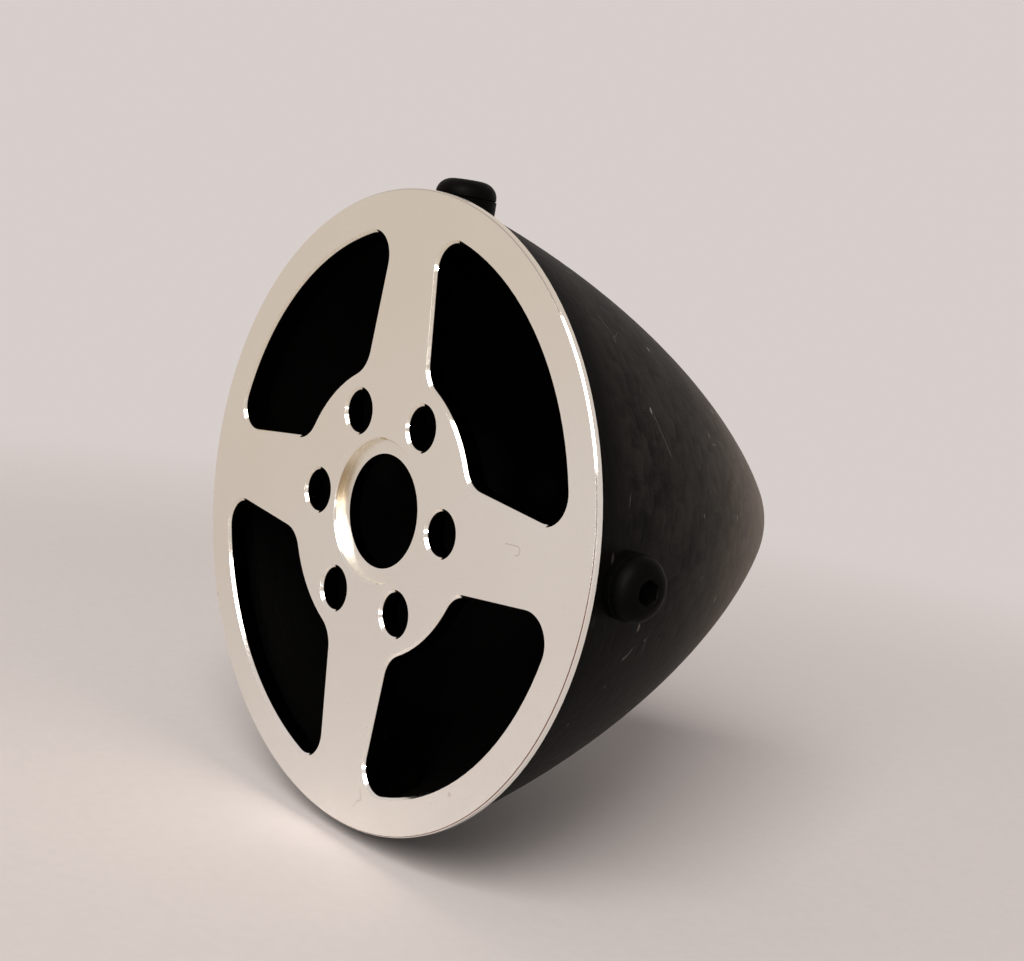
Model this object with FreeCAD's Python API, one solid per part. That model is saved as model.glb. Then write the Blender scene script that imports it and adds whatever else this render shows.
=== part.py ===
import FreeCAD
import Part
import math
import os

# Propeller spinner: a carbon-fibre nose cone held on a one-piece machined aluminium
# backplate by four radial button-head screws.  Lengths are in millimetres.
# The origin is the centre of the bore on the backplate's rear face.  +Y is the shaft axis
# towards the nose, +Z goes up through the top spoke and +X through the right spoke.

# Backplate: a turned disc with a lip for the cone, milled into a hub, four spokes and a rim
RIM_RADIUS = 30.0
LIP_THICKNESS = 0.6
PLATE_THICKNESS = 2.0
BORE_RADIUS = 5.4
RECESS_RADIUS = 6.75
RECESS_DEPTH = 0.8
BOLT_CIRCLE_RADIUS = 10.0
BOLT_HOLE_RADIUS = 2.05
BOLT_COUNT = 6
FIRST_BOLT_ANGLE = 30.0
WINDOW_OUTER_RADIUS = 26.4
WINDOW_INNER_RADIUS = 13.75
OUTER_CORNER_RADIUS = 2.5
INNER_CORNER_RADIUS = 2.8
SPOKE_HALF_WIDTH = 4.16
SPOKE_WIDTH_AT = 19.5
SPOKE_TAPER = 5.9
EDGE_BREAK = 0.25
FINE_BREAK = 0.15

# Lugs: four tapped blocks on the spoke ends that carry the screws
LUG_WIDTH = 6.0
LUG_INNER_RADIUS = 22.2
LUG_HEIGHT = 8.2
LUG_CORNER_RADIUS = 1.0
CONE_CLEARANCE = 0.05

# Nose cone: an even wall whose outline is a long side arc and a tangent nose arc
CONE_BASE_RADIUS = 29.7
CONE_BASE_TILT = 14.2
SIDE_ARC_RADIUS = 125.0
CONE_LENGTH = 50.0
CONE_WALL = 0.9

# Screws: M3 x 6 button heads with a hexagon socket
SCREW_FROM_REAR = 5.1
SCREW_RADIUS = 1.5
SCREW_LENGTH = 6.0
SCREW_CLEARANCE_RADIUS = 1.65
HEAD_RADIUS = 2.85
HEAD_HEIGHT = 1.65
HEAD_EDGE = 0.25
HEAD_FLAT_RADIUS = 1.35
SOCKET_ACROSS_FLATS = 2.0
SOCKET_DEPTH = 1.05
SOCKET_MOUTH = 0.12
POINT_BREAK = 0.35
SEAT_DEPTH = 0.2
SEAT_RADIUS = 3.1

STATIONS = {"top": 0.0, "right": 90.0, "bottom": 180.0, "left": 270.0}

ORIGIN = FreeCAD.Vector(0, 0, 0)
SHAFT = FreeCAD.Vector(0, 1, 0)
UP = FreeCAD.Vector(0, 0, 1)


def disc(radius, start, end):
    """A cylinder on the shaft axis between two stations of it."""
    return Part.makeCylinder(radius, end - start, FreeCAD.Vector(0, start, 0), SHAFT)


def turned(shape, angle):
    """A copy of a shape made at the top, turned about the shaft towards +X."""
    copy = shape.copy()
    copy.rotate(ORIGIN, SHAFT, angle)
    return copy


def at_stations(shape):
    return [turned(shape, angle) for angle in STATIONS.values()]


def cone_arcs():
    """Centre and radius of the side arc and of the nose arc tangent to it, as (r, y)."""
    tilt = math.radians(CONE_BASE_TILT)
    side = (
        CONE_BASE_RADIUS - SIDE_ARC_RADIUS * math.cos(tilt),
        LIP_THICKNESS - SIDE_ARC_RADIUS * math.sin(tilt),
    )
    reach = CONE_LENGTH - side[1]
    nose_radius = (SIDE_ARC_RADIUS**2 - side[0] ** 2 - reach**2) / (2 * (SIDE_ARC_RADIUS - reach))
    nose = (0.0, CONE_LENGTH - nose_radius)
    return side, nose, nose_radius


def cone_radius(station, inset=0.0):
    """Radius of the cone's side at a station, inset from its outer surface."""
    side, _, _ = cone_arcs()
    return side[0] + math.sqrt((SIDE_ARC_RADIUS - inset) ** 2 - (station - side[1]) ** 2)


def arc(centre, radius, start, end):
    """An arc in the meridian plane, where x is the radius and y the shaft axis."""
    points = []
    for angle in (start, (start + end) / 2, end):
        x = centre[0] + radius * math.cos(angle)
        y = centre[1] + radius * math.sin(angle)
        points.append(FreeCAD.Vector(x, y, 0))
    return Part.Arc(*points).toShape()


def cone_body(inset, start):
    """The solid inside the cone's outline, inset from it, from a station to the nose."""
    side, nose, nose_radius = cone_arcs()
    side_radius = SIDE_ARC_RADIUS - inset
    tangent = math.atan2(nose[1] - side[1], nose[0] - side[0])
    base = math.asin((start - side[1]) / side_radius)
    flank = arc(side, side_radius, base, tangent)
    tip = arc(nose, nose_radius - inset, tangent, math.pi / 2)
    rim = flank.Vertexes[0].Point
    apex = FreeCAD.Vector(0, nose[1] + nose_radius - inset, 0)
    foot = FreeCAD.Vector(0, start, 0)
    outline = Part.Wire([
        flank,
        tip,
        Part.makeLine(apex, foot),
        Part.makeLine(foot, rim),
    ])
    return Part.Face(outline).revolve(ORIGIN, SHAFT, 360)


def seat_height():
    """Distance from the shaft to the underside of a screw head."""
    rear_of_head = SCREW_FROM_REAR - HEAD_RADIUS
    return cone_radius(rear_of_head) - SEAT_DEPTH


def radial_cylinder(radius, start, end):
    """A cylinder along the top screw's axis, between two distances from the shaft."""
    foot = FreeCAD.Vector(0, SCREW_FROM_REAR, start)
    return Part.makeCylinder(radius, end - start, foot, UP)


def make_spoke():
    """A tapered bar from the shaft out through the rim, as wide as a spoke."""
    slope = math.tan(math.radians(SPOKE_TAPER))
    root = SPOKE_HALF_WIDTH + slope * SPOKE_WIDTH_AT
    end = SPOKE_HALF_WIDTH - slope * (RIM_RADIUS - SPOKE_WIDTH_AT)
    corners = [(-root, 0), (root, 0), (end, RIM_RADIUS), (-end, RIM_RADIUS), (-root, 0)]
    outline = Part.makePolygon([FreeCAD.Vector(x, 0, z) for x, z in corners])
    return Part.Face(outline).extrude(SHAFT * PLATE_THICKNESS)


def make_windows():
    """The four openings between the spokes, with rounded corners."""
    ring = disc(WINDOW_OUTER_RADIUS, 0, PLATE_THICKNESS)
    ring = ring.cut(disc(WINDOW_INNER_RADIUS, 0, PLATE_THICKNESS))
    spokes = at_stations(make_spoke())
    openings = ring.cut(spokes)
    outer_corners = []
    inner_corners = []
    for edge in openings.Edges:
        centre = edge.CenterOfMass
        along_shaft = abs(edge.Vertexes[0].Y - edge.Vertexes[-1].Y) > PLATE_THICKNESS / 2
        if along_shaft and math.hypot(centre.x, centre.z) > SPOKE_WIDTH_AT:
            outer_corners.append(edge)
        elif along_shaft:
            inner_corners.append(edge)
    openings = openings.makeFillet(OUTER_CORNER_RADIUS, outer_corners)
    inner_corners = [match_edge(openings, edge) for edge in inner_corners]
    return openings.makeFillet(INNER_CORNER_RADIUS, inner_corners)


def match_edge(shape, wanted):
    """The edge of a shape whose middle is nearest to that of another edge."""
    return min(shape.Edges, key=lambda edge: (edge.CenterOfMass - wanted.CenterOfMass).Length)


def make_lug():
    """The tapped block at the end of the top spoke, before it is cut to the cone's inside."""
    corner = FreeCAD.Vector(-LUG_WIDTH / 2, 0, LUG_INNER_RADIUS)
    height = CONE_BASE_RADIUS - LUG_INNER_RADIUS
    block = Part.makeBox(LUG_WIDTH, LUG_HEIGHT, height, corner)
    front_edges = [
        edge for edge in block.Edges
        if all(abs(vertex.Y - LUG_HEIGHT) < 0.01 for vertex in edge.Vertexes)
        and abs(edge.CenterOfMass.z - LUG_INNER_RADIUS) > height / 4
        and abs(edge.CenterOfMass.x) > LUG_WIDTH / 4
    ]
    return block.makeFillet(LUG_CORNER_RADIUS, front_edges)


def bolt_holes():
    holes = []
    for index in range(BOLT_COUNT):
        hole = Part.makeCylinder(
            BOLT_HOLE_RADIUS, PLATE_THICKNESS, FreeCAD.Vector(0, 0, BOLT_CIRCLE_RADIUS), SHAFT
        )
        holes.append(turned(hole, FIRST_BOLT_ANGLE + index * 360 / BOLT_COUNT))
    return holes


def edges_at(shape, station):
    """Every edge of a shape that lies in the plane across the shaft at a station."""
    return [
        edge for edge in shape.Edges
        if abs(edge.BoundBox.YMin - station) < 0.001 and abs(edge.BoundBox.YMax - station) < 0.001
    ]


def rear_circles(shape, radii):
    """The rear face's edges that are circles about the shaft with one of some radii."""
    return [
        edge for edge in edges_at(shape, 0)
        if any(abs(edge.BoundBox.XLength - 2 * radius) < 0.01 for radius in radii)
    ]


def make_taper():
    """The straight taper that the spigot and lugs are turned to, clear of the cone's inside."""
    inset = CONE_WALL + CONE_CLEARANCE
    foot = SHAFT * LIP_THICKNESS
    radii = cone_radius(LIP_THICKNESS, inset), cone_radius(LUG_HEIGHT, inset)
    return Part.makeCone(*radii, LUG_HEIGHT - LIP_THICKNESS, foot, SHAFT)


def make_backplate():
    """Disc, lip, spigot and lugs as one piece, then milled through and its edges broken."""
    taper = make_taper()
    spigot = disc(RIM_RADIUS, LIP_THICKNESS, PLATE_THICKNESS).common(taper)
    lugs = [lug.common(taper) for lug in at_stations(make_lug())]
    plate = disc(RIM_RADIUS, 0, LIP_THICKNESS).fuse([spigot] + lugs).removeSplitter()
    cuts = [make_windows(), disc(BORE_RADIUS, 0, PLATE_THICKNESS), disc(RECESS_RADIUS, 0, RECESS_DEPTH)]
    cuts += bolt_holes()
    cuts += at_stations(radial_cylinder(SCREW_RADIUS, LUG_INNER_RADIUS - 1, RIM_RADIUS))
    plate = plate.cut(cuts)
    plate = plate.makeChamfer(FINE_BREAK, rear_circles(plate, (RIM_RADIUS, RECESS_RADIUS)))
    turned_radii = (RIM_RADIUS - FINE_BREAK, RECESS_RADIUS + FINE_BREAK)
    already_broken = [edge.hashCode() for edge in rear_circles(plate, turned_radii)]
    milled = [edge for edge in edges_at(plate, 0) if edge.hashCode() not in already_broken]
    return plate.makeChamfer(EDGE_BREAK, milled)


def make_nose_cone():
    """The moulded shell, with a hole and a spot face for each screw."""
    shell = cone_body(0, LIP_THICKNESS).cut(cone_body(CONE_WALL, LIP_THICKNESS))
    hole = radial_cylinder(SCREW_CLEARANCE_RADIUS, LUG_INNER_RADIUS, RIM_RADIUS)
    spot_face = radial_cylinder(SEAT_RADIUS, seat_height(), RIM_RADIUS)
    return shell.cut(at_stations(hole) + at_stations(spot_face))


def make_socket(top):
    """The hexagon hole in the head, with a coned mouth and the drill point below it."""
    half_corner = SOCKET_ACROSS_FLATS / 2 / math.cos(math.pi / 6)
    corners = []
    for index in range(7):
        angle = index * math.pi / 3
        x = half_corner * math.cos(angle)
        y = half_corner * math.sin(angle)
        corners.append(FreeCAD.Vector(x, y, top - SOCKET_DEPTH))
    hexagon = Part.Face(Part.makePolygon(corners)).extrude(UP * SOCKET_DEPTH)
    mouth_floor = FreeCAD.Vector(0, 0, top - 2 * SOCKET_MOUTH)
    mouth = Part.makeCone(
        half_corner - SOCKET_MOUTH, half_corner + SOCKET_MOUTH, 2 * SOCKET_MOUTH, mouth_floor
    )
    drill_floor = FreeCAD.Vector(0, 0, top - SOCKET_DEPTH - 0.3)
    drill = Part.makeCone(0, SOCKET_ACROSS_FLATS / 2, 0.3, drill_floor)
    return hexagon.fuse([mouth, drill])


def make_screw():
    """The top screw: domed head, plain shank for the thread and a broken point."""
    crown = arc_through((HEAD_RADIUS, HEAD_EDGE), (2.35, 1.15), (HEAD_FLAT_RADIUS, HEAD_HEIGHT))
    tip = -SCREW_LENGTH
    corners = [
        (HEAD_FLAT_RADIUS, HEAD_HEIGHT),
        (0, HEAD_HEIGHT),
        (0, tip),
        (SCREW_RADIUS - POINT_BREAK, tip),
        (SCREW_RADIUS, tip + POINT_BREAK),
        (SCREW_RADIUS, 0),
        (HEAD_RADIUS, 0),
        (HEAD_RADIUS, HEAD_EDGE),
    ]
    sides = Part.makePolygon([FreeCAD.Vector(x, 0, z) for x, z in corners])
    outline = Part.Wire([crown] + sides.Edges)
    screw = Part.Face(outline).revolve(ORIGIN, UP, 360).cut(make_socket(HEAD_HEIGHT))
    screw.translate(FreeCAD.Vector(0, SCREW_FROM_REAR, seat_height()))
    return screw


def arc_through(start, middle, end):
    return Part.Arc(*[FreeCAD.Vector(x, 0, z) for x, z in (start, middle, end)]).toShape()


def main():
    pieces = {"backplate": make_backplate(), "nose_cone": make_nose_cone()}
    screw = make_screw()
    for name, angle in STATIONS.items():
        pieces["screw_" + name] = turned(screw, angle)
    os.makedirs("parts", exist_ok=True)
    for name, shape in pieces.items():
        solids = shape.Solids
        if len(solids) != 1 or not solids[0].isValid():
            raise ValueError(name + " is not one valid solid")
        solids[0].exportStep("parts/" + name + ".step")
        print(name, round(shape.Volume, 1), "mm3")


main()
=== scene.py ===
import math

import bmesh
import bpy
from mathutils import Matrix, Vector


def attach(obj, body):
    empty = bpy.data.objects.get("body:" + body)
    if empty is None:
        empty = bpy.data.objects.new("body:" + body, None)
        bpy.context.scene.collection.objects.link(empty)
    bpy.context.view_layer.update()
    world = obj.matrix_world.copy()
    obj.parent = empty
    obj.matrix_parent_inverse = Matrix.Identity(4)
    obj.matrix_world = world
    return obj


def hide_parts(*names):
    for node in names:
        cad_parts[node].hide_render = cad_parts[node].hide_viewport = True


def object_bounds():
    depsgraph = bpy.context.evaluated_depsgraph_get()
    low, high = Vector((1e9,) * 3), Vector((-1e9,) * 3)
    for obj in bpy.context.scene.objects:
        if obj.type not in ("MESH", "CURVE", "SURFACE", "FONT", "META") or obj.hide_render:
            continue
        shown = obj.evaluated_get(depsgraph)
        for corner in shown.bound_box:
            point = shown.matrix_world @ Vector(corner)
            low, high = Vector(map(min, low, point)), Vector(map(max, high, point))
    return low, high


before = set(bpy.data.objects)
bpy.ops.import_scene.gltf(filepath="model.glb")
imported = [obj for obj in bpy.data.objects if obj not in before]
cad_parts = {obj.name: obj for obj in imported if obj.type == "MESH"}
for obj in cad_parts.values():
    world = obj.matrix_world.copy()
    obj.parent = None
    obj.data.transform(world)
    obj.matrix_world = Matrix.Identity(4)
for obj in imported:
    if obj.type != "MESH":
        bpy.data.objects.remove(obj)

cad_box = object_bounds()
MM = 0.001


# Camera: behind the backplate, to its right and a little above the shaft, leaning slightly.
# A long lens keeps the plate's circle only a little narrowed by distance.
camera_data = bpy.data.cameras.new("camera")
camera_data.lens = 56.668
camera_data.clip_start = 5 * MM
camera = bpy.data.objects.new("camera", camera_data)
camera.location = (120.392 * MM, -87.939 * MM, 23.533 * MM)
camera.rotation_euler = [math.radians(angle) for angle in (82.724, -8.743, 50.296)]
bpy.context.scene.collection.objects.link(camera)
bpy.context.scene.camera = camera
bpy.context.scene.view_settings.view_transform = "Standard"


# Backplate: one piece of aluminium, turned on a lathe to a disc with a thin lip and a tapered
# spigot, then milled through between the spokes, drilled for the hub bolts and tumbled to a
# warm satin. The milled walls and everything ahead of the rear face are painted darker, as painted shade
# of the dark hollows they face, and stay sharper.
def add_node(tree, kind, inputs=None, **settings):
    """A node with its settings made and its inputs filled or linked, by name or by place."""
    node = tree.nodes.new(kind)
    for name, value in settings.items():
        setattr(node, name, value)
    for name, value in (inputs or {}).items():
        if isinstance(value, bpy.types.NodeSocket):
            tree.links.new(value, node.inputs[name])
        else:
            node.inputs[name].default_value = value
    return node


def calc(tree, operation, *values):
    """The result of a Math node on numbers and sockets."""
    kind = "ShaderNodeMath"
    return add_node(tree, kind, dict(enumerate(values)), operation=operation).outputs[0]


def times(tree, first, second):
    """Two masks met, or a value weighed by a share."""
    return calc(tree, "MULTIPLY", first, second)


def plus(tree, first, second):
    return calc(tree, "ADD", first, second)


def between(tree, value, low, high):
    """1 where a value lies between two limits, else 0."""
    return times(tree, calc(tree, "GREATER_THAN", value, low), calc(tree, "LESS_THAN", value, high))


def vector(tree, operation, first, second):
    """A Vector Math node on two vectors; a number as the second is the scale."""
    slot = "Scale" if operation == "SCALE" else 1
    inputs = {0: first, slot: second}
    return add_node(tree, "ShaderNodeVectorMath", inputs, operation=operation).outputs


def ramp(tree, value, low, high, out_low=0.0, out_high=1.0):
    """A value taken smoothly from one range to another and held at the ends."""
    inputs = {0: value, 1: low, 2: high, 3: out_low, 4: out_high}
    kind = "ShaderNodeMapRange"
    return add_node(tree, kind, inputs, interpolation_type="SMOOTHSTEP").outputs[0]


def mix_colour(tree, share, first, second):
    """Two colours or colour sockets mixed by a share."""
    inputs = {0: share, 6: first, 7: second}
    return add_node(tree, "ShaderNodeMix", inputs, data_type="RGBA").outputs[2]


def noise(tree, place, scale, detail=2.0):
    inputs = {"Vector": place, "Scale": scale, "Detail": detail}
    return add_node(tree, "ShaderNodeTexNoise", inputs).outputs[0]


def voronoi(tree, place, scale, feature="F1"):
    inputs = {"Vector": place, "Scale": scale}
    return add_node(tree, "ShaderNodeTexVoronoi", inputs, feature=feature).outputs


def new_material(name):
    """A material with an empty tree, its Principled shader and its Object coordinates."""
    material = bpy.data.materials.new(name)
    material.use_nodes = True
    tree = material.node_tree
    tree.nodes.clear()
    shader = tree.nodes.new("ShaderNodeBsdfPrincipled")
    output = tree.nodes.new("ShaderNodeOutputMaterial")
    tree.links.new(shader.outputs[0], output.inputs["Surface"])
    place = tree.nodes.new("ShaderNodeTexCoord").outputs["Object"]
    return material, tree, shader, place


def add_sockets(tree, side, names):
    """Named number or vector sockets on one side of a node group."""
    for name in names:
        kind = "NodeSocketVector" if name == "Place" else "NodeSocketFloat"
        tree.interface.new_socket(name, in_out=side, socket_type=kind)


def make_marks_group():
    """Handling marks on any finish: broken hair scratches and small specks of dust."""
    tree = bpy.data.node_groups.new("handling_marks", "ShaderNodeTree")
    add_sockets(tree, "INPUT", (
        "Place", "Scratch Scale", "Scratch Width", "Scratch Share",
        "Speck Scale", "Speck Size", "Speck Share",
    ))
    add_sockets(tree, "OUTPUT", ("Scratches", "Specks"))
    given = tree.nodes.new("NodeGroupInput").outputs
    bend = add_node(tree, "ShaderNodeTexNoise", {"Vector": given["Place"], "Scale": 260.0})
    bent = vector(tree, "SCALE", bend.outputs["Color"], 1.6 * MM)[0]
    wavy = vector(tree, "ADD", given["Place"], bent)[0]
    edge = voronoi(tree, wavy, given["Scratch Scale"], "DISTANCE_TO_EDGE")["Distance"]
    core = times(tree, given["Scratch Width"], 0.4)
    line = ramp(tree, edge, core, given["Scratch Width"], 1.0, 0.0)
    patch = noise(tree, given["Place"], times(tree, given["Scratch Scale"], 2.3))
    broken = ramp(tree, patch, calc(tree, "SUBTRACT", 0.78, given["Scratch Share"]),
                  calc(tree, "SUBTRACT", 0.84, given["Scratch Share"]))
    scratches = times(tree, line, broken)
    cell = voronoi(tree, given["Place"], given["Speck Scale"])
    chance = add_node(tree, "ShaderNodeSeparateColor", {0: cell["Color"]}).outputs
    chosen = calc(tree, "LESS_THAN", chance[0], given["Speck Share"])
    reach = times(tree, given["Speck Size"], chance[1])
    spot = ramp(tree, cell["Distance"], times(tree, reach, 0.5), reach, 1.0, 0.0)
    out = {"Scratches": scratches, "Specks": times(tree, spot, chosen)}
    add_node(tree, "NodeGroupOutput", out)
    return tree


def place_marks(tree, group, place, scratches, specks):
    """The handling marks placed in a material: scale, width or size, and share of each kind."""
    names = ("Scratch Scale", "Scratch Width", "Scratch Share",
             "Speck Scale", "Speck Size", "Speck Share")
    inputs = {"Place": place} | dict(zip(names, scratches + specks))
    marks = add_node(tree, "ShaderNodeGroup", inputs, node_tree=group)
    return marks.outputs["Scratches"], marks.outputs["Specks"]


marks_group = make_marks_group()
WARM_SATIN_PAINTED_SHADE = (0.84, 0.785, 0.665, 1)
PALE_SATIN_PAINTED_LIGHT = (0.92, 0.905, 0.865, 1)
WALL_PAINTED_SHADE = (0.30, 0.275, 0.245, 1)
SCRATCH_TONE = (0.52, 0.46, 0.38, 1)
RIM_PAINTED_REFLECTION = (0.42, 0.40, 0.38, 1)
RIM_PAINTED_RED_REFLECTION = (0.26, 0.13, 0.10, 1)
RECESS_PAINTED_SHADE = (0.42, 0.33, 0.22, 1)
RIM_RADIUS = 30 * MM
BORE_RADIUS = 5.4 * MM
RECESS_RADIUS = 6.75 * MM
RECESS_DEPTH = 0.8 * MM
EDGE_BREAK = 0.25 * MM
JUST_OFF_FACE = 0.004 * MM
HOOK_CENTRE = (20.55 * MM, 0, 0.93 * MM)
HOOK_START = 20.45 * MM
SHANK_START = 18.95 * MM

aluminium, tree, shader, place = new_material("machined_aluminium")
shader.inputs["Metallic"].default_value = 1.0
split = add_node(tree, "ShaderNodeSeparateXYZ", {0: place}).outputs
square_x = times(tree, split["X"], split["X"])
square_z = times(tree, split["Z"], split["Z"])
radius = calc(tree, "SQRT", plus(tree, square_x, square_z))

# Painted light: the satin is painted from warm and darker at the upper left to pale at the lower right, as
# the light falls across the plate, with soft clouds of random tone.
across = plus(tree, times(tree, split["Z"], -1.0), times(tree, split["X"], 0.5))
painted_light_fade = ramp(tree, across, -32 * MM, 30 * MM)
cloud = times(tree, calc(tree, "SUBTRACT", noise(tree, place, 70.0, 3.0), 0.5), 0.5)
tone = mix_colour(tree, plus(tree, painted_light_fade, cloud), WARM_SATIN_PAINTED_SHADE, PALE_SATIN_PAINTED_LIGHT)
scratches, specks = place_marks(tree, marks_group, place, (75.0, 0.006, 0.10), (420.0, 0.16, 0.05))
marked = mix_colour(tree, times(tree, scratches, 0.5), tone, SCRATCH_TONE)
marked = mix_colour(tree, times(tree, specks, 0.45), marked, SCRATCH_TONE)

# One hook-shaped scratch lies on the right spoke: a short curl and a straight shank.
from_curl = vector(tree, "DISTANCE", place, HOOK_CENTRE)["Value"]
curl = between(tree, from_curl, 0.36 * MM, 0.43 * MM)
curl = times(tree, curl, calc(tree, "GREATER_THAN", split["X"], HOOK_START))
shank_line = calc(tree, "SUBTRACT", split["Z"], times(tree, split["X"], 0.07))
shank = times(tree, between(tree, shank_line, -0.14 * MM, -0.08 * MM),
              between(tree, split["X"], SHANK_START, HOOK_START + 0.05 * MM))
on_face = calc(tree, "LESS_THAN", split["Y"], 0.01 * MM)
hook = times(tree, calc(tree, "MAXIMUM", curl, shank), on_face)
marked = mix_colour(tree, times(tree, hook, 0.8), marked, SCRATCH_TONE)

# Each machined surface is found by its radius and its depth from the rear face.
milled = times(tree, ramp(tree, split["Y"], EDGE_BREAK - 0.05 * MM, EDGE_BREAK + 0.02 * MM),
               between(tree, radius, RECESS_RADIUS + 0.35 * MM, RIM_RADIUS - 0.4 * MM))
bore_wall = times(tree, calc(tree, "LESS_THAN", radius, BORE_RADIUS + 0.1 * MM),
                  calc(tree, "GREATER_THAN", split["Y"], RECESS_DEPTH + 0.02 * MM))
wall = calc(tree, "MAXIMUM", milled, bore_wall)
recess_wall = times(tree, between(tree, radius, RECESS_RADIUS - 0.05 * MM, RECESS_RADIUS + 0.25 * MM),
                    between(tree, split["Y"], 0.10 * MM, RECESS_DEPTH - 0.01 * MM))
in_chamfer = between(tree, split["Y"], JUST_OFF_FACE, EDGE_BREAK + 0.02 * MM)
# Painted reflection: the rim's outer chamfer is drawn as a thin darker grey line, reddish towards the
# lower right, for what the chamfer reflects.
rim_edge = times(tree, between(tree, split["Y"], JUST_OFF_FACE, 0.07 * MM),
                 calc(tree, "GREATER_THAN", radius, RIM_RADIUS - 0.3 * MM))
red_reflection_side = ramp(tree, calc(tree, "SUBTRACT", split["X"], split["Z"]), 20 * MM, 34 * MM)
marked = mix_colour(tree, times(tree, rim_edge, 0.7), marked, RIM_PAINTED_REFLECTION)
marked = mix_colour(tree, times(tree, rim_edge, red_reflection_side), marked, RIM_PAINTED_RED_REFLECTION)
# Painted shade: the recess wall is drawn darker brown on its left side, most towards the top.
shaded_arc = times(tree, ramp(tree, split["X"], -6.6 * MM, -5.0 * MM, 0.95, 0.12),
                    ramp(tree, split["Z"], -1.5 * MM, 0.5 * MM, 0.3, 1.0))
marked = mix_colour(tree, times(tree, recess_wall, shaded_arc), marked, RECESS_PAINTED_SHADE)
# Painted shade: the milled walls and the bore wall are drawn darker for the dark hollows they look into.
tree.links.new(mix_colour(tree, wall, marked, WALL_PAINTED_SHADE), shader.inputs["Base Color"])

# Fine turning rings and grit roughen the faces; the cutter leaves walls and chamfers bright.
rings = {"W": times(tree, radius, 9000.0), "Scale": 1.0}
turning = add_node(tree, "ShaderNodeTexNoise", rings, noise_dimensions="1D").outputs[0]
grain = noise(tree, place, 3200.0)
grit = plus(tree, times(tree, grain, 0.6), times(tree, turning, 0.4))
satin = ramp(tree, grit, 0.25, 0.75, 0.27, 0.36)
cutter_bright = calc(tree, "MAXIMUM", wall, in_chamfer)
roughness = calc(tree, "SUBTRACT", satin, times(tree, cutter_bright, 0.24))
tree.links.new(roughness, shader.inputs["Roughness"])
relief = plus(tree, times(tree, grit, 0.4), times(tree, scratches, -1.0))
bump = add_node(tree, "ShaderNodeBump", {"Height": relief, "Strength": 0.25, "Distance": 0.01 * MM})
tree.links.new(bump.outputs[0], shader.inputs["Normal"])
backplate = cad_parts["backplate"]
backplate.data.materials.clear()
backplate.data.materials.append(aluminium)


# Nose cone: carbon cloth in plain weave, laid in a mould with resin over a long side arc and a
# round nose, rubbed to a satin. Its cut edge sits on the backplate's lip; the inside is bare and painted
# near-black as shade.
TOW_WIDTH = 2.0 * MM
CONE_GIRTH_RADIUS = 27.0 * MM
SIDE_LEAN = 1.07
SPECK_CLUSTER = (28 * MM, 8 * MM, -7 * MM)
RESIN_DARK = (0.0004, 0.0004, 0.0004, 1)
RESIN_WORN = (0.0440, 0.0380, 0.0320, 1)
NOSE_PAINTED_HIGHLIGHT = (0.300, 0.245, 0.200, 1)
INSIDE_SHADE = (0.0012, 0.0011, 0.0010, 1)
DUST = (0.34, 0.31, 0.28, 1)


def half_cell(tree, value):
    """How far a value is from the middle of its cell, 0 to 0.5."""
    return calc(tree, "ABSOLUTE", calc(tree, "SUBTRACT", calc(tree, "FRACT", value), 0.5))


def strand_noise(tree, around, along, across_count, along_count):
    """Streaks that run one way of the cloth, from the cell coordinates."""
    stretched = {0: times(tree, around, across_count), 1: times(tree, along, along_count)}
    return noise(tree, add_node(tree, "ShaderNodeCombineXYZ", stretched).outputs[0], 1.0, 2.0)


carbon, tree, shader, place = new_material("carbon_laminate")
split = add_node(tree, "ShaderNodeSeparateXYZ", {0: place}).outputs

# The cloth: square cells of two tows, one over and one under, that wander as laid by hand.
angle = calc(tree, "ARCTAN2", split["X"], split["Z"])
around = calc(tree, "DIVIDE", times(tree, angle, CONE_GIRTH_RADIUS), TOW_WIDTH)
along = calc(tree, "DIVIDE", times(tree, split["Y"], SIDE_LEAN), TOW_WIDTH)
around_sway = calc(tree, "SUBTRACT", noise(tree, place, 170.0), 0.5)
along_sway = calc(tree, "SUBTRACT", noise(tree, place, 240.0), 0.5)
around = plus(tree, around, times(tree, around_sway, 2.6))
along = plus(tree, along, times(tree, along_sway, 2.2))
cell_around = calc(tree, "FLOOR", around)
cell_along = calc(tree, "FLOOR", along)
over = calc(tree, "PINGPONG", plus(tree, cell_around, cell_along), 1.0)
cell_place = add_node(tree, "ShaderNodeCombineXYZ", {0: cell_around, 1: cell_along}).outputs[0]
cell_tone = add_node(tree, "ShaderNodeTexWhiteNoise", {"Vector": cell_place}).outputs["Value"]
crown_across = ramp(tree, half_cell(tree, around), 0.25, 0.5, 1.0, 0.0)
crown_along = ramp(tree, half_cell(tree, along), 0.25, 0.5, 1.0, 0.0)
pillow = times(tree, crown_across, crown_along)
weft = strand_noise(tree, around, along, 1.2, 11.0)
warp = strand_noise(tree, around, along, 11.0, 1.2)
under = calc(tree, "SUBTRACT", 1.0, over)
strands = plus(tree, times(tree, weft, over), times(tree, warp, under))
rubbed = noise(tree, place, 160.0, 4.0)
blotches = noise(tree, place, 750.0, 4.0)
tow = plus(tree, times(tree, over, 0.05), times(tree, cell_tone, 0.13))
resin = plus(tree, times(tree, rubbed, 0.62), times(tree, blotches, 0.52))
weave = plus(tree, tow, plus(tree, times(tree, strands, 0.36), resin))

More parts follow.
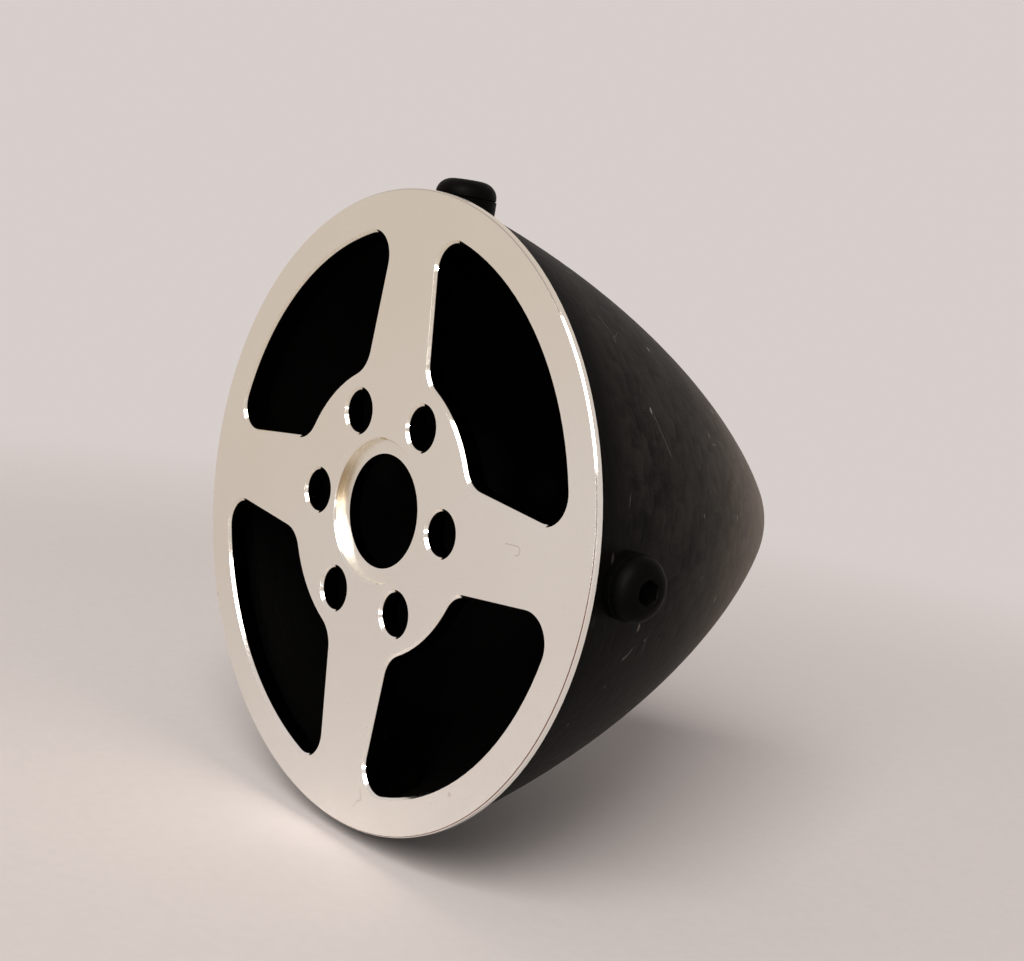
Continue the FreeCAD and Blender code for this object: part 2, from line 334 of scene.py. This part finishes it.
# Painted light: the cloth is drawn lighter, and shows more, towards the nose and the top, where the light
# falls, and the nose itself is painted a lighter grey as a painted highlight.
nose_painted_light = ramp(tree, split["Y"], 6 * MM, 46 * MM)
top_painted_light = ramp(tree, split["Z"], -16 * MM, 26 * MM)
painted_light_share = plus(tree, times(tree, nose_painted_light, 0.80), times(tree, top_painted_light, 0.38))
shown = times(tree, ramp(tree, weave, 0.55, 1.05), plus(tree, painted_light_share, 0.10))
laminate = mix_colour(tree, shown, RESIN_DARK, RESIN_WORN)
on_nose = calc(tree, "POWER", ramp(tree, split["Y"], 14 * MM, 52 * MM), 1.7)
nose_highlight = times(tree, on_nose, plus(tree, times(tree, weave, 0.9), 0.10))
laminate = mix_colour(tree, nose_highlight, laminate, NOSE_PAINTED_HIGHLIGHT)

# Strokes of dust run round the cone and gather by the right screw; pinholes dot the resin.
by_screw = vector(tree, "DISTANCE", place, SPECK_CLUSTER)["Value"]
speck_share = ramp(tree, by_screw, 3 * MM, 9 * MM, 0.5, 0.10)
stretch = {"Vector": place, "Scale": (1.0, 1.0, 0.42)}
stroke_place = add_node(tree, "ShaderNodeMapping", stretch, vector_type="POINT").outputs[0]
scratches, specks = place_marks(tree, marks_group, stroke_place, (130.0, 0.008, 0.16),
                                (620.0, 0.22, speck_share))
shift = {"Vector": place, "Location": (0.013, 0.007, 0.021)}
pit_place = add_node(tree, "ShaderNodeMapping", shift, vector_type="POINT").outputs[0]
pits = voronoi(tree, pit_place, 900.0)
pit_chance = add_node(tree, "ShaderNodeSeparateColor", {0: pits["Color"]}).outputs[0]
pit = times(tree, ramp(tree, pits["Distance"], 0.10, 0.22, 1.0, 0.0),
            calc(tree, "LESS_THAN", pit_chance, 0.08))
dusty = plus(tree, times(tree, specks, 0.45), times(tree, scratches, 0.22))
dusty = calc(tree, "MINIMUM", dusty, 1.0)

# The inner wall, which faces the shaft, is painted near-black as painted shade, and the outer one gets a
# band of painted shade where it meets the lip.
facing = tree.nodes.new("ShaderNodeNewGeometry").outputs["Normal"]
outward = vector(tree, "MULTIPLY", place, (1, 0, 1))[0]
lean = vector(tree, "DOT_PRODUCT", facing, outward)["Value"]
inside = calc(tree, "LESS_THAN", lean, 0.0)
lip_shade = ramp(tree, split["Y"], 1.4 * MM, 8.0 * MM, 0.97, 0.0)
outer_tone = mix_colour(tree, dusty, laminate, DUST)
outer_tone = mix_colour(tree, lip_shade, outer_tone, INSIDE_SHADE)
tree.links.new(mix_colour(tree, inside, outer_tone, INSIDE_SHADE), shader.inputs["Base Color"])
satin = plus(tree, ramp(tree, weave, 0.25, 0.95, 0.36, 0.50), times(tree, pit, 0.2))
tree.links.new(satin, shader.inputs["Roughness"])
shader.inputs["Specular IOR Level"].default_value = 0.018
shader.inputs["Sheen Weight"].default_value = 0.006
shader.inputs["Sheen Roughness"].default_value = 0.4
shader.inputs["Sheen Tint"].default_value = (1.0, 0.88, 0.76, 1)
surface = plus(tree, times(tree, rubbed, 0.8), times(tree, pit, -1.2))
cloth = plus(tree, times(tree, pillow, 0.5), times(tree, strands, 0.25))
relief = plus(tree, cloth, surface)
bump = add_node(tree, "ShaderNodeBump", {"Height": relief, "Strength": 0.35, "Distance": 0.06 * MM})
tree.links.new(bump.outputs[0], shader.inputs["Normal"])
nose_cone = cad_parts["nose_cone"]
nose_cone.data.materials.clear()
nose_cone.data.materials.append(carbon)


# Screws: four M3 button heads in black-oxide steel, cold headed with a hexagon socket and a
# rolled thread, each on a black washer whose underside is bevelled to the cone's slope. They go
# through the cone into the lugs, and each is turned in the top one's place.
HEAD_RADIUS = 2.85
# The washer is a guess: the real heads stand about this much prouder than the solids' heads.
WASHER_THICKNESS = 0.8
HEAD_HEIGHT = WASHER_THICKNESS + 1.65
SHANK_RADIUS = 1.5
SHANK_LENGTH = 6.0
OXIDE_DARK = (0.0006, 0.0006, 0.0005, 1)
OXIDE_WORN = (0.0016, 0.0015, 0.0013, 1)

black_steel, tree, shader, place = new_material("black_oxide_steel")
scratches, specks = place_marks(tree, marks_group, place, (260.0, 0.008, 0.10), (900.0, 0.18, 0.08))
tone = mix_colour(tree, noise(tree, place, 700.0), OXIDE_DARK, OXIDE_WORN)
tone = mix_colour(tree, times(tree, plus(tree, scratches, specks), 0.10), tone, DUST)
tree.links.new(tone, shader.inputs["Base Color"])
shader.inputs["Specular IOR Level"].default_value = 0.03
oxide = ramp(tree, noise(tree, place, 1500.0), 0.3, 0.7, 0.44, 0.56)
tree.links.new(oxide, shader.inputs["Roughness"])
steel_grain = noise(tree, place, 5200.0)
bump = add_node(tree, "ShaderNodeBump", {"Height": steel_grain, "Strength": 0.2, "Distance": 0.01 * MM})
tree.links.new(bump.outputs[0], shader.inputs["Normal"])


def screw_outline():
    """Half the section of a screw in millimetres, x the radius and z the height over its seat."""
    flat_radius = 1.3
    edge_height = WASHER_THICKNESS + 0.25
    steps = 14
    corners = [(0.0, HEAD_HEIGHT), (flat_radius, HEAD_HEIGHT)]
    for step in range(1, steps + 1):
        turn = math.pi / 2 * step / steps
        x = flat_radius + (HEAD_RADIUS - flat_radius) * math.sin(turn)
        z = edge_height + (HEAD_HEIGHT - edge_height) * math.cos(turn)
        corners.append((x, z))
    groove = 0.06
    corners += [(HEAD_RADIUS, WASHER_THICKNESS + groove), (HEAD_RADIUS - 2 * groove, WASHER_THICKNESS)]
    corners += [(HEAD_RADIUS + groove, WASHER_THICKNESS - groove), (HEAD_RADIUS + groove, 0.0)]
    point = 0.35
    corners += [(SHANK_RADIUS, 0.0), (SHANK_RADIUS, point - SHANK_LENGTH)]
    corners += [(SHANK_RADIUS - point, -SHANK_LENGTH), (0.0, -SHANK_LENGTH)]
    return corners


def add_inputs(tree, sizes):
    """Geometry in, geometry out, named sizes and a material on a Geometry Nodes tree."""
    face = tree.interface
    face.new_socket("Geometry", in_out="OUTPUT", socket_type="NodeSocketGeometry")
    face.new_socket("Outline", in_out="INPUT", socket_type="NodeSocketGeometry")
    for name, value in sizes.items():
        socket = face.new_socket(name, in_out="INPUT", socket_type="NodeSocketFloat")
        socket.default_value = value
    face.new_socket("Material", in_out="INPUT", socket_type="NodeSocketMaterial")


def moved(tree, shape, **place):
    """A shape moved by a vector built from X, Y and Z numbers or sockets."""
    way = add_node(tree, "ShaderNodeCombineXYZ", place)
    return add_node(tree, "GeometryNodeTransform", {
        "Geometry": shape.outputs[0], "Translation": way.outputs[0],
    })


def make_screw_tree():
    """Turns the outline, rolls the thread, broaches the socket and sets the screw in its place."""
    steps_round = 48
    steps_along = 214
    weld = 0.0005
    mouth_depth = 0.24
    mouth_flare = 0.12
    seat_band = 0.02
    shank_band = 0.03
    tree = bpy.data.node_groups.new("button_head_screw", "GeometryNodeTree")
    add_inputs(tree, {
        "Thread Pitch": 0.5, "Thread Depth": 0.3, "Thread Start": -0.6, "Thread End": -5.7,
        "Socket Across Flats": 2.0, "Socket Depth": 1.3,
        "Seat Height": 29.07, "From Rear": 5.1, "Cone Slope": 0.27, "Station": 0.0,
    })
    given = tree.nodes.new("NodeGroupInput").outputs

    # A flat grid is wrapped round the axis, one side along the outline and the other a full turn.
    grid = add_node(tree, "GeometryNodeMeshGrid", {
        "Size X": 1.0, "Size Y": 1.0, "Vertices X": steps_round + 1, "Vertices Y": steps_along,
    })
    position = tree.nodes.new("GeometryNodeInputPosition").outputs[0]
    spot = add_node(tree, "ShaderNodeSeparateXYZ", {0: position}).outputs
    share_round = plus(tree, spot["X"], 0.5)
    share_along = plus(tree, spot["Y"], 0.5)
    sampled = add_node(tree, "GeometryNodeSampleCurve",
                       {"Curves": given["Outline"], "Factor": share_along},
                       mode="FACTOR", use_all_curves=True)
    section = add_node(tree, "ShaderNodeSeparateXYZ", {0: sampled.outputs["Position"]}).outputs
    turn = times(tree, share_round, math.tau)

    # The thread is a groove whose depth follows the height less the share of a turn.
    pitches = calc(tree, "DIVIDE", section["Z"], given["Thread Pitch"])
    phase = calc(tree, "FRACT", calc(tree, "SUBTRACT", pitches, share_round))
    from_root = calc(tree, "ABSOLUTE", calc(tree, "SUBTRACT", phase, 0.5))
    thread = calc(tree, "SUBTRACT", 1.0, times(tree, from_root, 2.0))
    below = calc(tree, "LESS_THAN", section["Z"], given["Thread Start"])
    above = calc(tree, "GREATER_THAN", section["Z"], given["Thread End"])
    cut = times(tree, times(tree, thread, given["Thread Depth"]), times(tree, below, above))
    radius = calc(tree, "MAXIMUM", calc(tree, "SUBTRACT", section["X"], cut), 0.0)

    # The washer's underside drops towards the nose, to lie along the cone.
    forward = times(tree, radius, calc(tree, "SINE", turn))
    on_seat = calc(tree, "LESS_THAN", calc(tree, "ABSOLUTE", section["Z"]), seat_band)
    past_shank = calc(tree, "GREATER_THAN", radius, SHANK_RADIUS + shank_band)
    drop = times(tree, plus(tree, forward, HEAD_RADIUS), given["Cone Slope"])
    bevel = times(tree, drop, times(tree, on_seat, past_shank))
    turned = add_node(tree, "ShaderNodeCombineXYZ", {
        "X": times(tree, radius, calc(tree, "COSINE", turn)), "Y": forward,
        "Z": calc(tree, "SUBTRACT", section["Z"], bevel),
    })
    body = add_node(tree, "GeometryNodeSetPosition",
                    {"Geometry": grid.outputs[0], "Position": turned.outputs[0]})
    body = add_node(tree, "GeometryNodeMergeByDistance",
                    {"Geometry": body.outputs[0], "Distance": weld})

    # A hexagonal punch and a shallow cone are cut from the crown.
    half_corner = calc(tree, "DIVIDE", given["Socket Across Flats"], 2 * math.cos(math.pi / 6))
    hexagon = add_node(tree, "GeometryNodeMeshCylinder", {
        "Vertices": 6, "Radius": half_corner, "Depth": times(tree, given["Socket Depth"], 2.0),
    })
    mouth = add_node(tree, "GeometryNodeMeshCone", {
        "Vertices": steps_round, "Depth": mouth_depth,
        "Radius Bottom": calc(tree, "SUBTRACT", half_corner, mouth_flare),
        "Radius Top": plus(tree, half_corner, mouth_flare),
    })
    broached = body
    for tool in (moved(tree, hexagon, Z=HEAD_HEIGHT), moved(tree, mouth, Z=HEAD_HEIGHT - mouth_depth / 2)):
        cutter = add_node(tree, "GeometryNodeMeshBoolean", operation="DIFFERENCE", solver="EXACT")
        tree.links.new(broached.outputs[0], cutter.inputs[0])
        tree.links.new(tool.outputs[0], cutter.inputs[1])
        broached = cutter

    # Lifted to its seat on the cone, then swung round the shaft to its station.
    seated = moved(tree, broached, Y=given["From Rear"], Z=given["Seat Height"])
    station = add_node(tree, "ShaderNodeCombineXYZ", {"Y": calc(tree, "RADIANS", given["Station"])})
    placed = add_node(tree, "GeometryNodeTransform", {
        "Geometry": seated.outputs[0], "Rotation": station.outputs[0], "Scale": (MM, MM, MM),
    })
    joined = add_node(tree, "GeometryNodeRealizeInstances", {0: placed.outputs[0]})
    finished = add_node(tree, "GeometryNodeSetMaterial",
                        {"Geometry": joined.outputs[0], "Material": given["Material"]})
    add_node(tree, "NodeGroupOutput", {0: finished.outputs[0]})
    return tree


def made_by_tree(name, outline, tree, values):
    """A plain mesh object made by a tree from an outline, with inputs set by name."""
    holder = bpy.data.objects.new(name + "_outline", outline)
    bpy.context.scene.collection.objects.link(holder)
    modifier = holder.modifiers.new("make", "NODES")
    modifier.node_group = tree
    sockets = (item for item in tree.interface.items_tree if item.in_out == "INPUT")
    identifiers = {item.name: item.identifier for item in sockets}
    for socket, value in values.items():
        modifier[identifiers[socket]] = value
    bpy.context.view_layer.update()
    evaluated = holder.evaluated_get(bpy.context.evaluated_depsgraph_get())
    mesh = bpy.data.meshes.new_from_object(evaluated)
    mesh.name = name
    bpy.data.objects.remove(holder)
    piece = bpy.data.objects.new(name, mesh)
    bpy.context.scene.collection.objects.link(piece)
    return piece


def shade_by_angle(mesh, limit):
    """Smooth faces with sharp edges wherever two faces meet at more than an angle."""
    shape = bmesh.new()
    shape.from_mesh(mesh)
    for face in shape.faces:
        face.smooth = True
    for edge in shape.edges:
        edge.smooth = not edge.is_manifold or edge.calc_face_angle(0.0) < limit
    shape.to_mesh(mesh)
    shape.free()


SHARP_ANGLE = 32
outline = bpy.data.curves.new("screw_outline", "CURVE")
outline.dimensions = "3D"
spline = outline.splines.new("POLY")
corners = screw_outline()
spline.points.add(len(corners) - 1)
for point, (x, z) in zip(spline.points, corners):
    point.co = (x, 0.0, z, 1.0)
screw_tree = make_screw_tree()
for station, angle in {"top": 0.0, "right": 90.0, "bottom": 180.0, "left": 270.0}.items():
    values = {"Station": angle, "Material": black_steel}
    screw = made_by_tree("button_head_" + station, outline, screw_tree, values)
    shade_by_angle(screw.data, math.radians(SHARP_ANGLE))
    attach(screw, "root")
    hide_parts("screw_" + station)


# Floor: a pale warm table under the part. It fades into the surroundings with distance, so
# that it has no edge, and it keeps the part's shadow.
TABLE = (0.64, 0.585, 0.565, 1)
SURROUNDINGS = (0.68, 0.62, 0.60, 1)
TABLE_RADIUS = 1.2
UNDER_THE_SCREW = 0.8 * MM
FADE_START = 0.11
FADE_END = 0.28
floor_mesh = bpy.data.meshes.new("floor")
shape = bmesh.new()
bmesh.ops.create_circle(shape, cap_ends=True, segments=96, radius=TABLE_RADIUS)
bmesh.ops.translate(shape, verts=shape.verts, vec=(0, 0, cad_box[0].z - UNDER_THE_SCREW))
shape.to_mesh(floor_mesh)
shape.free()
floor = bpy.data.objects.new("floor", floor_mesh)
bpy.context.scene.collection.objects.link(floor)
table_top, tree, shader, place = new_material("pale_table")
shader.inputs["Roughness"].default_value = 0.9
shader.inputs["Specular IOR Level"].default_value = 0.1
paper = plus(tree, times(tree, noise(tree, place, 900.0), 0.06), 0.94)
tree.links.new(vector(tree, "SCALE", TABLE[:3], paper)[0], shader.inputs["Base Color"])
reach = add_node(tree, "ShaderNodeVectorMath", {0: place}, operation="LENGTH").outputs["Value"]
tree.links.new(ramp(tree, reach, FADE_START, FADE_END, 1.0, 0.0), shader.inputs["Alpha"])
floor_mesh.materials.append(table_top)


# Light: an even warm surround, a wide soft lamp high behind the backplate on its right, which
# casts the shadow, and a small low one on the same side that catches the plate's broken edges.
world = bpy.data.worlds.new("room")
bpy.context.scene.world = world
world.use_nodes = True
tree = world.node_tree
tree.nodes.clear()
path = tree.nodes.new("ShaderNodeLightPath").outputs
seen = calc(tree, "MAXIMUM", path["Is Camera Ray"], path["Is Glossy Ray"])
seen = calc(tree, "MAXIMUM", seen, path["Is Transmission Ray"])
backdrop = add_node(tree, "ShaderNodeBackground", {"Color": SURROUNDINGS, "Strength": 1.0})
fill = add_node(tree, "ShaderNodeBackground", {"Color": (1.0, 0.97, 0.95, 1), "Strength": 0.27})
mixed = add_node(tree, "ShaderNodeMixShader", {0: seen, 1: fill.outputs[0], 2: backdrop.outputs[0]})
add_node(tree, "ShaderNodeOutputWorld", {"Surface": mixed.outputs[0]})


def soft_lamp(name, azimuth, elevation, distance, size, power, colour=(1.0, 0.97, 0.94)):
    """A square lamp facing the part, placed round it from behind towards its right."""
    aim = Vector((0, 15 * MM, 0))
    side = math.radians(azimuth)
    rise = math.radians(elevation)
    way = Vector((math.sin(side) * math.cos(rise), -math.cos(side) * math.cos(rise), math.sin(rise)))
    lamp = bpy.data.lights.new(name, "AREA")
    lamp.size = size
    lamp.energy = power
    lamp.color = colour
    holder = bpy.data.objects.new(name, lamp)
    holder.location = aim + way * distance
    holder.rotation_euler = (-way).to_track_quat("-Z", "Y").to_euler()
    bpy.context.scene.collection.objects.link(holder)


soft_lamp("key", 34, 38, 2.4, 1.60, 76.0)
soft_lamp("edge_light", 37, -1, 0.50, 0.03, 0.8, (1.0, 0.99, 0.98))
